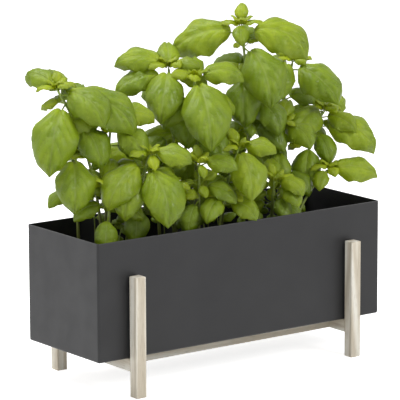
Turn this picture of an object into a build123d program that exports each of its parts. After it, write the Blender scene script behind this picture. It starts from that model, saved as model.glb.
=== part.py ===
from build123d import *
import math
import os

import numpy as np

# Indoor herb planter: a folded steel trough that rests in a wooden stand and holds three pots of basil.
# Millimetres. X runs along the trough, Y from front to back, Z up, and the stand's feet are at Z = 0.

# Trough, folded from steel sheet
trough_length = 445
trough_width = 155
trough_height = 150
sheet = 1.5
bend = 3

# Stand, made of square ash strips
leg_side = 15
leg_height = 153
leg_inset = 52
leg_clearance = 2.5
leg_ease = 0.8
rail_width = 15
rail_height = 16
rail_bottom = 32
rail_ease = 0.5
stretcher_spacing = 83

# Dowels that join the stand
dowel_diameter = 6
dowel_in_leg = 10
dowel_in_rail = 12
dowel_fit = 0.1
dowel_end_room = 0.5

# Nursery pots that stand in the trough, pushed up to its left end
pot_diameter = 118
pot_base_diameter = 84
pot_height = 105
pot_wall = 1.2
pot_sides = 24
pot_band = 16
pot_band_step = 3
pot_foot = 3
pot_foot_width = 7
pot_gap = 12
pot_end_gap = 5
drain_length = 12
drain_width = 6
drain_count = 6
drain_inset = 16

# Root balls
soil_fit = 0.3
soil_below_band = 2

# Basil stems and leaves
stem_foot_side = 4.2
stem_tip_side = 2.4
stem_upright_share = 0.62
stem_spans = 8
stalk_half = 1.1
stalk_share = 0.1
stalk_least = 4
leaf_thickness = 0.9
short_length = 50
short_start = 0.13
leaf_half_share = 0.32
leaf_crown_share = 0.09
leaf_fit = 0.4
lowest_leaf_share = 0.05

# Where leaves may grow
aisle_slope = 0.45
aisle_half = 2
wall_room = 5
leaf_room = 2.5
full_room_length = 66
stalk_room_share = 0.35
room_rise = 2
stem_room = 3.6

# Points of a leaf and of a stem at which the room is measured
room_start = 0.06
room_rows = 14
room_columns = 9
room_on_stalk = (0.4, 0.7, 1)
own_stem_rows = 2
stem_line_points = 60

# Window light: leaves turn their faces to it
light_azimuth = -126.6
side_pitch = 7
pitch_loss = 0.08
top_pitch = 24
top_length = 20
light_pitch = 36
young_length = 30
young_pitch = 42
side_bend = 66
light_bend = 8
light_roll = 46

# Levels and places that follow
seat = rail_bottom + rail_height
trough_floor = seat + sheet
rim = seat + trough_height
leg_spacing = trough_length - 2 * leg_inset
stand_inside = trough_width + 2 * leg_clearance
leg_y = stand_inside / 2 + leg_side / 2
leg_x = leg_spacing / 2
rail_z = rail_bottom + rail_height / 2
stretcher_y = stretcher_spacing / 2
stretcher_length = leg_spacing - rail_width
pot_pitch = pot_diameter + pot_gap
first_pot_x = -trough_length / 2 + sheet + pot_end_gap + pot_diameter / 2
soil_bottom = trough_floor + pot_foot + pot_wall
soil_top = trough_floor + pot_height - pot_band - soil_below_band

os.makedirs("parts", exist_ok=True)


def save(piece, name):
    """Label a finished piece and write its STEP file."""
    piece.part.label = name
    export_step(piece.part, f"parts/{name}.step")


# Trough: a rounded box, bent round at the bottom edges and hollowed from the open top
with BuildPart() as trough:
    with BuildSketch(Plane.XY.offset(seat)):
        RectangleRounded(trough_length, trough_width, bend)
    extrude(amount=trough_height)
    fillet(trough.faces().sort_by(Axis.Z)[0].edges(), radius=bend)
    offset(amount=-sheet, openings=trough.faces().sort_by(Axis.Z)[-1])
save(trough, "trough")


# Legs: square strips with eased edges and one blind dowel hole in the inner face
for end, along in (("left", -1), ("right", 1)):
    for face, across in (("front", -1), ("back", 1)):
        with BuildPart() as leg:
            with BuildSketch(Plane((along * leg_x, across * leg_y, 0))):
                Rectangle(leg_side, leg_side)
            extrude(amount=leg_height)
            chamfer(leg.edges(), length=leg_ease)
            inner_face = Plane((along * leg_x, across * stand_inside / 2, rail_z), z_dir=(0, across, 0))
            with BuildSketch(inner_face):
                Circle(dowel_diameter / 2 + dowel_fit)
            extrude(amount=dowel_in_leg, mode=Mode.SUBTRACT)
        save(leg, f"leg_{face}_{end}")


# Cross rails: they carry the trough between a front and a back leg, and take the stretchers on one side
for end, along in (("left", -1), ("right", 1)):
    with BuildPart() as rail:
        front_end = (along * leg_x, -stand_inside / 2, rail_z)
        with BuildSketch(Plane(front_end, x_dir=(1, 0, 0), z_dir=(0, 1, 0))):
            Rectangle(rail_width, rail_height)
        extrude(amount=stand_inside)
        chamfer(rail.edges().filter_by(Axis.Y), length=rail_ease)
        for across in (-1, 1):
            rail_end = (along * leg_x, across * stand_inside / 2, rail_z)
            with BuildSketch(Plane(rail_end, z_dir=(0, -across, 0))):
                Circle(dowel_diameter / 2 + dowel_fit)
            extrude(amount=dowel_in_rail, mode=Mode.SUBTRACT)
            inner_x = along * (leg_x - rail_width / 2)
            with BuildSketch(Plane((inner_x, across * stretcher_y, rail_z), z_dir=(along, 0, 0))):
                Circle(dowel_diameter / 2 + dowel_fit)
            extrude(amount=dowel_in_leg, mode=Mode.SUBTRACT)
    save(rail, f"cross_rail_{end}")


# Stretchers: they keep the cross rails apart, flush with them above and below
for face, across in (("front", -1), ("back", 1)):
    with BuildPart() as stretcher:
        left_end = (-stretcher_length / 2, across * stretcher_y, rail_z)
        with BuildSketch(Plane(left_end, x_dir=(0, 1, 0), z_dir=(1, 0, 0))):
            Rectangle(rail_width, rail_height)
        extrude(amount=stretcher_length)
        chamfer(stretcher.edges().filter_by(Axis.X), length=rail_ease)
        for along in (-1, 1):
            stretcher_end = (along * stretcher_length / 2, across * stretcher_y, rail_z)
            with BuildSketch(Plane(stretcher_end, z_dir=(-along, 0, 0))):
                Circle(dowel_diameter / 2 + dowel_fit)
            extrude(amount=dowel_in_rail, mode=Mode.SUBTRACT)
    save(stretcher, f"stretcher_{face}")


# Dowels: one in each end of each rail and stretcher
dowel_length = dowel_in_leg + dowel_in_rail - 2 * dowel_end_room

with BuildPart() as leg_dowels:
    for along in (-1, 1):
        for across in (-1, 1):
            outer_y = across * (stand_inside / 2 + dowel_in_leg - dowel_end_room)
            with BuildSketch(Plane((along * leg_x, outer_y, rail_z), z_dir=(0, -across, 0))):
                Circle(dowel_diameter / 2)
            extrude(amount=dowel_length)
save(leg_dowels, "leg_dowels")

with BuildPart() as stretcher_dowels:
    for along in (-1, 1):
        for across in (-1, 1):
            outer_x = along * (stretcher_length / 2 + dowel_in_leg - dowel_end_room)
            with BuildSketch(Plane((outer_x, across * stretcher_y, rail_z), z_dir=(-along, 0, 0))):
                Circle(dowel_diameter / 2)
            extrude(amount=dowel_length)
save(stretcher_dowels, "stretcher_dowels")


# Nursery pots: thin tapered cups with flat facets, a stepped band at the rim, a foot ring and drain slots
base_r = pot_base_diameter / 2
rim_r = pot_diameter / 2
neck_r = rim_r - pot_band_step
neck_z = trough_floor + pot_height - pot_band
floor_z = trough_floor + pot_foot + pot_wall


def pot_r(z):
    """Radius of the pot's tapered outside at a height."""
    return base_r + (neck_r - base_r) * (z - trough_floor) / (neck_z - trough_floor)


def solid_of(polygons):
    """Solid inside a closed set of flat polygons."""
    faces = [Face(Wire.make_polygon([tuple(corner) for corner in polygon])) for polygon in polygons]
    return Solid(Shell(faces))


def tapered_cup(x, low, high, inset):
    """Faceted solid between two heights, inside the pot's outside by the inset."""
    rings = []
    for z in (low, high):
        r = pot_r(z) - inset
        turns = [2 * math.pi * side / pot_sides for side in range(pot_sides)]
        rings.append([(x + r * math.cos(turn), r * math.sin(turn), z) for turn in turns])
    bottom, top = rings
    walls = [
        (bottom[side - 1], bottom[side], top[side], top[side - 1]) for side in range(pot_sides)
    ]
    return solid_of([bottom[::-1], top, *walls])


# Basil: each shoot has its foot on the root ball, its tip above the rim, and pairs of leaves below the tip.
# Foot: x, y from the pot's middle. Tip: x, y from there and height above the trough's rim.
# Pair: distance below the tip, turn of the first leaf from the light, its length, the length opposite.
left_shoots = [
    ((0, 5), (-41, 45, 174), [
        (1, 30, 24, 22), (19, 76, 97, 0), (2, 232, 50, 0), (12, 22, 74, 50), (26, -20, 92, 50),
        (60, 40, 62, 50), (100, -10, 50, 50), (130, 60, 44, 44)]),
    ((-14, -28), (-12, -25, 57), [(2, -50, 58, 40), (8, 35, 46, 40), (30, 100, 40, 40), (44, -10, 44, 40)]),
    ((30, -20), (39, -42, 95), [
        (1, 30, 24, 24), (4, 70, 50, 0), (20, 300, 74, 0), (24, 30, 82, 44), (34, -30, 62, 44),
        (62, 150, 40, 40), (74, -10, 50, 44)]),
    ((8, 12), (16, 6, 142), [(2, 150, 22, 22), (8, -50, 62, 50), (26, 10, 56, 50), (50, 100, 40, 52)]),
    ((-20, 30), (-30, 28, 90), [(2, 120, 24, 24), (6, 4, 78, 40), (26, 80, 46, 30), (56, 110, 40, 34)]),
    ((36, -2), (44, -14, 48), [(2, 30, 22, 20), (6, -20, 54, 44), (24, 60, 44, 44)]),
]
middle_shoots = [
    ((-8, 18), (-1, 42, 186), [
        (1, 30, 24, 20), (2, 252, 62, 44), (9, -10, 76, 48), (18, 275, 66, 50), (55, 30, 66, 60),
        (105, 100, 60, 60), (150, 0, 44, 44)]),
    ((-6, -28), (-18, -46, 76), [
        (1, 30, 20, 20), (4, 70, 44, 40), (10, -4, 86, 50), (40, 80, 45, 50), (60, -40, 44, 44)]),
    ((14, 4), (15, 8, 174), [
        (4, 90, 56, 36), (10, 16, 98, 50), (35, 100, 50, 55), (78, 0, 60, 60), (115, 90, 50, 50)]),
    ((34, -20), (50, -38, 86), [
        (1, 45, 26, 26), (3, 62, 44, 40), (8, 18, 72, 50), (45, -20, 50, 44), (66, 50, 40, 40)]),
    ((-30, 22), (-38, 40, 78), [(2, 120, 22, 22), (6, -70, 52, 48), (26, 190, 50, 46), (55, 110, 40, 40)]),
    ((28, 28), (22, 44, 96), [(2, 120, 22, 22), (6, 110, 50, 50), (26, 200, 52, 46), (60, 120, 44, 44)]),
    ((-34, -14), (-44, -22, 44), [(2, 30, 22, 20), (5, 0, 56, 44), (22, 70, 44, 44)]),
    ((16, -38), (20, -50, 30), [(2, 20, 20, 18), (5, -30, 46, 40), (14, 50, 44, 36)]),
]
right_shoots = [
    ((-20, 15), (-27, 25, 232), [
        (1, 0, 34, 28), (16, 80, 84, 0), (16, 264, 88, 0), (38, -10, 88, 54), (66, 40, 60, 54),
        (74, -30, 72, 50), (115, 190, 55, 60), (150, 70, 50, 50), (185, 0, 44, 44)]),
    ((38, -8), (95, 8, 111), [
        (1, 30, 26, 24), (26, 85, 78, 0), (4, -50, 72, 0), (8, -10, 34, 50), (12, 60, 48, 50),
        (36, 60, 46, 60), (55, -10, 60, 50)]),
    ((10, -5), (20, 0, 102), [(2, -60, 48, 40), (8, 30, 50, 45), (40, -10, 50, 50), (75, 60, 45, 45)]),
    ((8, -36), (67, -38, 42), [(1, 30, 24, 22), (5, 88, 62, 0), (4, -20, 34, 0)]),
    ((22, 24), (66, 36, 175), [
        (1, 30, 24, 22), (14, 50, 80, 50), (7, -10, 68, 50), (60, 90, 60, 60), (110, 0, 60, 60)]),
    ((-22, -30), (-28, -46, 40), [
        (2, 30, 20, 20), (5, 10, 46, 36), (14, 50, 40, 36), (28, 20, 40, 34), (42, 70, 36, 34)]),
    ((-8, 32), (-4, 43, 92), [(2, 120, 22, 22), (6, 110, 50, 50), (26, 200, 52, 46), (60, 120, 44, 44)]),
]
plants = [("left", left_shoots), ("middle", middle_shoots), ("right", right_shoots)]

# Outline of a leaf: share of the blade's length, share of its half width
leaf_outline = [(0, 0.05), (0.13, 0.68), (0.4, 1), (0.74, 0.77), (1, 0)]

# A crowded leaf tries these turns to the side, and then shorter blades
swings = (0, 14, -14, 28, -28, 42, -42)
blade_shares = (1, 0.9, 0.8, 0.68)

up = np.array([0.0, 0.0, 1.0])


def unit(vector):
    return vector / np.linalg.norm(vector)


def pot_x(number):
    return first_pot_x + number * pot_pitch


def stem_point(shoot, share):
    """Point and direction at a share of the stem's way from its foot to its tip."""
    foot, tip = shoot["foot"], shoot["tip"]
    knee = foot + up * stem_upright_share * (tip[2] - foot[2])
    point = (1 - share) ** 2 * foot + 2 * share * (1 - share) * knee + share**2 * tip
    return point, unit((1 - share) * (knee - foot) + share * (tip - knee))


def stem_half(share):
    """Half the side of the square stem there."""
    return (stem_foot_side + (stem_tip_side - stem_foot_side) * share) / 2


def stem_frame(shoot, share):
    """Point on the stem and the two ways that its square section faces, the first along X."""
    point, direction = stem_point(shoot, share)
    x_side = unit(np.array([1.0, 0.0, 0.0]) - direction[0] * direction)
    return point, x_side, np.cross(direction, x_side)


def make_leaf(shoot, drop, turn, blade):
    """A leaf that leaves its stem at a distance below the tip and bends down under its weight."""
    share = max(lowest_leaf_share, 1 - drop / shoot["length"])
    point, x_side, y_side = stem_frame(shoot, share)
    direction = np.cross(x_side, y_side)
    azimuth = math.radians(light_azimuth + turn)
    outward = np.array([math.cos(azimuth), math.sin(azimuth), 0.0])
    square_out = unit(outward - (outward @ direction) * direction)
    reach = stem_half(share) * (abs(square_out @ x_side) + abs(square_out @ y_side)) + leaf_fit
    to_light = math.cos(math.radians(turn))
    pitch = young_pitch + math.degrees(math.asin(square_out[2]))
    if blade > young_length:
        pitch = side_pitch - pitch_loss * drop + top_pitch * max(0, 1 - drop / top_length)
    return {
        "start": point + square_out * reach,
        "seat_normal": square_out,
        "outward": outward,
        "side": np.cross(up, outward),
        "blade": blade,
        "stalk": stalk_least + stalk_share * blade,
        "pitch": math.radians(pitch - light_pitch * to_light**3),
        "bend": math.radians(side_bend + light_bend * to_light),
        "roll": math.radians(light_roll * math.sin(math.radians(turn))),
    }


def midrib(leaf, share):
    """Point, tangent, side and face normal at a share of the blade's length: the midrib is an arc."""
    outward, pitch, bend = leaf["outward"], leaf["pitch"], leaf["bend"]
    radius = leaf["blade"] / bend
    angle = pitch - bend * share
    blade_start = leaf["start"] + leaf["stalk"] * (math.cos(pitch) * outward + math.sin(pitch) * up)
    point = blade_start + radius * (
        (math.sin(pitch) - math.sin(angle)) * outward + (math.cos(angle) - math.cos(pitch)) * up
    )
    tangent = math.cos(angle) * outward + math.sin(angle) * up
    flat = leaf["side"]
    normal = np.cross(tangent, flat)
    turn, lift = math.cos(leaf["roll"]), math.sin(leaf["roll"])
    return point, tangent, turn * flat + lift * normal, turn * normal - lift * flat


def leaf_points(leaf):
    """Points all over a blade and then along its stalk, with the room that each keeps free round it."""
    shares, widths = zip(*leaf_outline)
    points = []
    room = []
    full_room = leaf_room * min(1, leaf["blade"] / full_room_length)
    crown = leaf_crown_share * leaf["blade"]
    for share in np.linspace(room_start, 1, room_rows):
        width = np.interp(share, shares, widths)
        point, _, side, normal = midrib(leaf, share)
        for across in np.linspace(-1, 1, room_columns):
            edge = side * across * width * leaf_half_share * leaf["blade"]
            points.append(point + edge + normal * crown * (1 - abs(across)))
            room.append(full_room * min(1, stalk_room_share + room_rise * share))
    blade_start = midrib(leaf, 0)[0]
    for share in room_on_stalk:
        points.append(leaf["start"] + share * (blade_start - leaf["start"]))
        room.append(full_room * stalk_room_share)
    return np.array(points), np.array(room)


def in_bounds(number, points):
    """True where a leaf stays in its own plant's strip and clear of the trough's walls."""
    x, y, z = points.T
    for aisle in range(len(plants) - 1):
        aisle_x = pot_x(aisle) + pot_pitch / 2 - aisle_slope * y
        beyond = x - aisle_x if aisle < number else aisle_x - x
        if beyond.min() < aisle_half:
            return False
    from_end = abs(abs(x) - trough_length / 2)
    from_side = abs(abs(y) - trough_width / 2)
    return not ((np.minimum(from_end, from_side) < wall_room) & (z < rim + wall_room)).any()


def crowded(leaf, grown, shoots):
    """True where a leaf comes too near to another leaf or to a stem."""
    points, room = leaf["points"], leaf["room"]
    for other in grown:
        middles = np.linalg.norm(points.mean(0) - other["points"].mean(0))
        if middles < leaf["blade"] + other["blade"]:
            apart = np.linalg.norm(points[:, None] - other["points"][None], axis=2)
            if (apart < room[:, None] + other["room"][None]).any():
                return True
    for shoot in shoots:
        first_row = own_stem_rows if shoot is leaf["shoot"] else 0
        blade = points[first_row * room_columns:room_rows * room_columns]
        apart = np.linalg.norm(blade[:, None] - shoot["line"][None], axis=2)
        if apart.min() < stem_room:
            return True
    return False


def grow(number, table):
    """Stems and leaves of one plant: long leaves first, each where it has room."""
    shoots = []
    wanted = []
    for foot, tip, pairs in table:
        shoot = {
            "foot": np.array([pot_x(number) + foot[0], foot[1], soil_top]),
            "tip": np.array([pot_x(number) + tip[0], tip[1], rim + tip[2]]),
        }
        shoot["length"] = np.linalg.norm(shoot["tip"] - shoot["foot"])
        shares = np.linspace(0, 1, stem_line_points)
        shoot["line"] = np.array([stem_point(shoot, share)[0] for share in shares])
        shoots.append(shoot)
        for drop, turn, blade, opposite in pairs:
            wanted.append((0, shoot, drop, turn, blade))
            wanted.append((1, shoot, drop, turn + 180, opposite))
    grown = []
    for _, shoot, drop, turn, blade in sorted(wanted, key=lambda leaf: (leaf[0], -leaf[4])):
        tries = [(swing, share) for share in blade_shares for swing in swings if blade]
        for swing, share in tries:
            leaf = make_leaf(shoot, drop, turn + swing, blade * share)
            leaf["shoot"] = shoot
            leaf["points"], leaf["room"] = leaf_points(leaf)
            if in_bounds(number, leaf["points"]) and not crowded(leaf, grown, shoots):
                grown.append(leaf)
                break
    return shoots, grown


def section(point, across, above, half_width, top, bottom):
    """Four corners of a section: right edge, ridge above, left edge, ridge below."""
    return [
        point + across * half_width,
        point + above * top,
        point - across * half_width,
        point + above * bottom,
    ]


def skin(sections, tip=None):
    """Solid of flat triangles over a row of four-cornered sections, closed by a cap or drawn to a tip."""
    first, last = sections[0], sections[-1]
    triangles = [(first[0], first[2], first[1]), (first[0], first[3], first[2])]
    for near, far in zip(sections, sections[1:]):
        for edge, ridge in ((0, 1), (2, 3)):
            after = (ridge + 1) % 4
            triangles.append((near[edge], near[ridge], far[ridge]))
            triangles.append((near[edge], far[ridge], far[edge]))
            triangles.append((near[ridge], near[after], far[ridge]))
            triangles.append((near[after], far[after], far[ridge]))
    if tip is None:
        triangles += [(last[0], last[1], last[2]), (last[0], last[2], last[3])]
    else:
        triangles += [(last[corner], last[(corner + 1) % 4], tip) for corner in range(4)]
    return solid_of(triangles)


def leaf_solid(leaf):
    """Stalk and blade in one: the blade is crowned along its midrib and narrows to its tip."""
    blade = leaf["blade"]
    crown = leaf_crown_share * blade
    half = leaf_thickness / 2
    seat_above = np.cross(leaf["seat_normal"], leaf["side"])
    sections = [section(leaf["start"], leaf["side"], seat_above, stalk_half, stalk_half, -stalk_half)]
    for share, width in leaf_outline[:-1]:
        point, _, side, normal = midrib(leaf, share)
        if share == 0:
            sections.append(section(point, side, normal, stalk_half, stalk_half, -stalk_half))
        elif blade > short_length or share > short_start:
            half_width = width * leaf_half_share * blade
            sections.append(section(point, side, normal, half_width, crown + half, crown - half))
    return skin(sections, tip=midrib(leaf, 1)[0])


def stem_solid(shoot):
    """Square basil stem, tapered and curved over to its tip."""
    sections = []
    for step in range(stem_spans + 1):
        share = step / stem_spans
        point, x_side, y_side = stem_frame(shoot, share)
        half = stem_half(share)
        corners = ((1, -1), (1, 1), (-1, 1), (-1, -1))
        sections.append([point + half * (right * x_side + back * y_side) for right, back in corners])
    return skin(sections)


for number, (place, table) in enumerate(plants):
    middle = pot_x(number)

    with BuildPart() as nursery_pot:
        add(tapered_cup(middle, trough_floor, neck_z, 0))
        with BuildSketch(Plane((middle, 0, neck_z))):
            RegularPolygon(rim_r, pot_sides)
        extrude(amount=pot_band)
        with BuildSketch(Plane((middle, 0, neck_z + pot_wall))):
            RegularPolygon(rim_r - pot_wall, pot_sides)
        extrude(amount=pot_band, mode=Mode.SUBTRACT)
        add(tapered_cup(middle, floor_z, neck_z + pot_wall, pot_wall), mode=Mode.SUBTRACT)
        with BuildSketch(Plane((middle, 0, trough_floor))):
            RegularPolygon(base_r - pot_foot_width, pot_sides)
        extrude(amount=pot_foot, mode=Mode.SUBTRACT)
        with BuildSketch(Plane((middle, 0, trough_floor))):
            with PolarLocations(base_r - drain_inset, drain_count):
                Rectangle(drain_length, drain_width)
        extrude(amount=pot_foot + 2 * pot_wall, mode=Mode.SUBTRACT)
    save(nursery_pot, f"nursery_pot_{place}")

    with BuildPart() as root_ball:
        add(tapered_cup(middle, soil_bottom, soil_top, pot_wall + soil_fit))
    save(root_ball, f"root_ball_{place}")

    shoots, leaves = grow(number, table)
    print(place, "basil:", len(shoots), "stems,", len(leaves), "leaves")

    stem_solids = [stem_solid(shoot) for shoot in shoots]
    with BuildPart() as basil_stems:
        add(stem_solids)
    save(basil_stems, f"basil_stems_{place}")

    leaf_solids = [leaf_solid(leaf) for leaf in leaves]
    with BuildPart() as basil_leaves:
        add(leaf_solids)
    save(basil_leaves, f"basil_leaves_{place}")
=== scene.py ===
# %% [markdown]
# # Indoor herb planter
# A dark steel trough stands in a pale wooden frame and holds three pots of basil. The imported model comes
# first, because every piece below takes its place from it: the trough and the wood are kept and get their
# finishes, while pots, compost, stems and leaves are modelled anew over their plain solids.

# %% Load the frame
import math

import bpy
import numpy as np
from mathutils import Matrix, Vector


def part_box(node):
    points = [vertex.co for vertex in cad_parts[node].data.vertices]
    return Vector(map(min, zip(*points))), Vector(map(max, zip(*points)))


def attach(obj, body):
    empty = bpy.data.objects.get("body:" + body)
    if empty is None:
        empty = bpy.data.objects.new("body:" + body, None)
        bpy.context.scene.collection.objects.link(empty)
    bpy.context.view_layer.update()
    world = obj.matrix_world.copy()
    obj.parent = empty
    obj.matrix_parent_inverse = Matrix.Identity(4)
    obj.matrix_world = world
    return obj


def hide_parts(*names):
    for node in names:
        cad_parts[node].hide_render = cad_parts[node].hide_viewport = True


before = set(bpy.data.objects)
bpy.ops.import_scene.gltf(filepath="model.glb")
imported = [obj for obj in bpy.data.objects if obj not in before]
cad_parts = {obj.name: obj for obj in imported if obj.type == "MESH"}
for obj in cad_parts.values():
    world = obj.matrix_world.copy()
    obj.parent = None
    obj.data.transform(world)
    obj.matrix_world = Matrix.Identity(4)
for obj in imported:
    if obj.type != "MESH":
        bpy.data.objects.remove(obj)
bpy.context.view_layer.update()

# %% [markdown]
# ## Camera
# The photograph was taken from a distance with a long lens, from the front left and a little above. A fit
# of the trough's corners gave the direction, the distance and the focal length. An orthographic camera
# would come close, but the far edges of the trough do shrink slightly, so perspective is kept.

# %% Camera at the photograph's viewing angle
view_azimuth = math.radians(-36.63)
view_elevation = math.radians(12.70)
view_distance = 3.951
view_middle = Vector((0, 0, 0.12))
aim = Vector((0.0056, 0.0211, 0.2098))
view_roll = math.radians(-0.22)

camera_data = bpy.data.cameras.new("photo_camera")
camera_data.lens = 277.0
camera = bpy.data.objects.new("photo_camera", camera_data)
bpy.context.collection.objects.link(camera)
level = math.cos(view_elevation)
camera.location = view_middle + view_distance * Vector(
    (math.sin(view_azimuth) * level, -math.cos(view_azimuth) * level, math.sin(view_elevation))
)
camera.rotation_euler = (aim - camera.location).to_track_quat("-Z", "Y").to_euler()
camera.rotation_euler.rotate_axis("Z", view_roll)
bpy.context.scene.camera = camera
print("camera at", [round(c, 3) for c in camera.location])

# %% [markdown]
# ## Finishes from nodes
# Every finish here is a small tree of nodes. Two helpers keep the trees readable: one opens a new material,
# and one adds a node with its settings and joins its inputs in a single call.

# %% Helpers for node materials
def new_finish(name):
    """A new material with its node tree and its main shader."""
    finish = bpy.data.materials.new(name)
    finish.use_nodes = True
    return finish, finish.node_tree, finish.node_tree.nodes["Principled BSDF"]


def put(tree, kind, inputs=(), **settings):
    """Add a node: settings are its properties, inputs are pairs of a socket and a value or an output."""
    made = tree.nodes.new(kind)
    for key, value in settings.items():
        setattr(made, key, value)
    for socket, value in inputs:
        if isinstance(value, bpy.types.NodeSocket):
            tree.links.new(value, made.inputs[socket])
        else:
            made.inputs[socket].default_value = value
    return made


def maths(tree, operation, first, second=0.0):
    """One step of arithmetic between two values or outputs."""
    return put(tree, "ShaderNodeMath", [(0, first), (1, second)], operation=operation).outputs[0]


def spread(tree, value, low, high, to_low, to_high, easing="SMOOTHSTEP"):
    """Map a value from one range to another, eased at both ends."""
    inputs = [("Value", value), (1, low), (2, high), (3, to_low), (4, to_high)]
    return put(tree, "ShaderNodeMapRange", inputs, interpolation_type=easing).outputs["Result"]


def ramp(tree, value, stops):
    """Colour along a row of stops, each a place and a colour."""
    made = put(tree, "ShaderNodeValToRGB", [("Fac", value)])
    elements = made.color_ramp.elements
    elements[0].position, elements[0].color = stops[0][0], (*stops[0][1], 1)
    elements[1].position, elements[1].color = stops[-1][0], (*stops[-1][1], 1)
    for place, colour in stops[1:-1]:
        elements.new(place).color = (*colour, 1)
    return made.outputs["Color"]


def blend(tree, factor, first, second, mode="MIX"):
    """Mix two colours."""
    inputs = [(0, factor), (6, first), (7, second)]
    return put(tree, "ShaderNodeMix", inputs, data_type="RGBA", blend_type=mode).outputs[2]


def place_in_metres(tree):
    """Coordinates of the shaded point in the object's frame, in metres."""
    return put(tree, "ShaderNodeTexCoord").outputs["Object"]


def noise(tree, coordinates, scale, detail=2.0, roughness=0.5):
    """Cloudy noise, with features about one over the scale in size."""
    inputs = [("Vector", coordinates), ("Scale", scale), ("Detail", detail), ("Roughness", roughness)]
    return put(tree, "ShaderNodeTexNoise", inputs).outputs["Fac"]


def emboss(tree, shader, height, depth, strength):
    """Let a height pattern of a given depth in metres tilt the surface."""
    inputs = [("Height", height), ("Distance", depth), ("Strength", strength)]
    tree.links.new(put(tree, "ShaderNodeBump", inputs).outputs["Normal"], shader.inputs["Normal"])


print("helpers ready")

# %% [markdown]
# ## Trough
# The trough is folded from 1.5 mm steel and powder coated in a dark, neutral grey. Powder melts to a skin
# with a very fine orange peel, so the finish is a nearly even colour with a tiny bump and a roughness that
# drifts a little. A thin band at the top of the walls, all round the rim, is a touch lighter: a painted
# highlight where the edge would catch the light. The node already has the bends, so it keeps its own mesh.

# %% Powder coat
rim_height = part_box("trough")[1][2]
highlight_band = 0.0016
coat_dark = (0.017, 0.017, 0.018)
coat_light = (0.023, 0.023, 0.024)
coat_edge_highlight = (0.033, 0.033, 0.034, 1.0)


def powder_coat():
    """A dark, even skin with a fine orange peel and a painted highlight all round the rim."""
    finish, tree, shader = new_finish("powder_coat")
    spot = place_in_metres(tree)
    drift = noise(tree, spot, 9.0, detail=3.0)
    colour = ramp(tree, drift, [(0.3, coat_dark), (0.7, coat_light)])
    height = put(tree, "ShaderNodeSeparateXYZ", [("Vector", spot)]).outputs["Z"]
    # The top of each wall turns lighter towards the rim: a painted highlight along the edge.
    edge = spread(tree, height, rim_height - highlight_band, rim_height - highlight_band / 2, 0.0, 0.8)
    tree.links.new(blend(tree, edge, colour, coat_edge_highlight), shader.inputs["Base Color"])
    tree.links.new(spread(tree, noise(tree, spot, 40.0), 0.3, 0.7, 0.40, 0.48), shader.inputs["Roughness"])
    shader.inputs["Specular IOR Level"].default_value = 0.26
    emboss(tree, shader, noise(tree, spot, 1100.0, detail=1.0), 0.00012, 0.35)
    return finish


def dress(node, finish):
    """Give a carried-over node one finish."""
    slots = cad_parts[node].data.materials
    slots.clear()
    slots.append(finish)


dress("trough", powder_coat())

# %% [markdown]
# ## Wooden stand
# Legs, rails and stretchers are planed ash strips with a thin white stain: pale beige, with fine pores in
# dashes along the grain and soft growth bands. A photo texture would show this too, but nodes that stretch
# noise along the strip give grain of the right scale on every face, and end grain where a strip is cut.

# %% Whitewashed ash
ash_dark = (0.52, 0.46, 0.36)
ash_mean = (0.65, 0.60, 0.50)
ash_pale = (0.75, 0.72, 0.64)
pore_brown = (0.30, 0.23, 0.16, 1.0)
grain_stretch = 0.045


def whitewashed_ash(name, along, shift):
    """Ash with its grain along one axis: shift moves the pattern, so that no two strips are alike."""
    finish, tree, shader = new_finish(name)
    stretch = [1.0, 1.0, 1.0]
    stretch[along] = grain_stretch
    offset = (shift, 1.7 * shift, 0.6 * shift)
    inputs = [("Vector", place_in_metres(tree)), ("Location", offset), ("Scale", stretch)]
    grain = put(tree, "ShaderNodeMapping", inputs).outputs["Vector"]
    bands = put(
        tree,
        "ShaderNodeTexWave",
        [("Vector", grain), ("Scale", 42.0), ("Distortion", 9.0), ("Detail", 3.0), ("Detail Scale", 1.4)],
        wave_type="BANDS",
        bands_direction="DIAGONAL",
    ).outputs["Fac"]
    pores = spread(tree, noise(tree, grain, 1500.0, detail=2.0), 0.56, 0.7, 0.0, 1.0)
    cloud = noise(tree, grain, 120.0, detail=4.0, roughness=0.6)
    tone = maths(tree, "ADD", maths(tree, "MULTIPLY", bands, 0.55), maths(tree, "MULTIPLY", cloud, 0.45))
    wood = ramp(tree, tone, [(0.2, ash_dark), (0.5, ash_mean), (0.8, ash_pale)])
    fleck = maths(tree, "MULTIPLY", pores, 0.45)
    stained = blend(tree, fleck, wood, pore_brown)
    tree.links.new(stained, shader.inputs["Base Color"])
    tree.links.new(spread(tree, pores, 0.0, 1.0, 0.55, 0.75), shader.inputs["Roughness"])
    shader.inputs["Specular IOR Level"].default_value = 0.3
    emboss(tree, shader, maths(tree, "SUBTRACT", 1.0, pores), 0.00015, 0.5)
    return finish


axis_of_strip = {"leg": 2, "cross": 1, "stretcher": 0}
strips = [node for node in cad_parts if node.split("_")[0] in axis_of_strip and "dowels" not in node]
for count, strip in enumerate(sorted(strips)):
    dress(strip, whitewashed_ash("ash_" + strip, axis_of_strip[strip.split("_")[0]], 0.13 * count))
print("wood:", len(strips), "strips")

# %% [markdown]
# The dowels sit unseen inside the joints. They are bare beech, warmer than the stained strips.

# %% Dowels
def bare_beech():
    """Unstained wood with short flecks."""
    finish, tree, shader = new_finish("bare_beech")
    fleck = noise(tree, place_in_metres(tree), 420.0, detail=4.0)
    colour = ramp(tree, fleck, [(0.35, (0.47, 0.31, 0.18)), (0.7, (0.62, 0.45, 0.28))])
    tree.links.new(colour, shader.inputs["Base Color"])
    tree.links.new(spread(tree, fleck, 0.3, 0.7, 0.6, 0.75), shader.inputs["Roughness"])
    return finish


beech = bare_beech()
for node in ("leg_dowels", "stretcher_dowels"):
    dress(node, beech)
print("dowels dressed")

# %% [markdown]
# ## Nursery pots
# Each plant stands in the thin black pot that it was sold in. Recycled plastic is dull and slightly uneven,
# and the forming leaves faint scratches that run up and down the wall.

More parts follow.
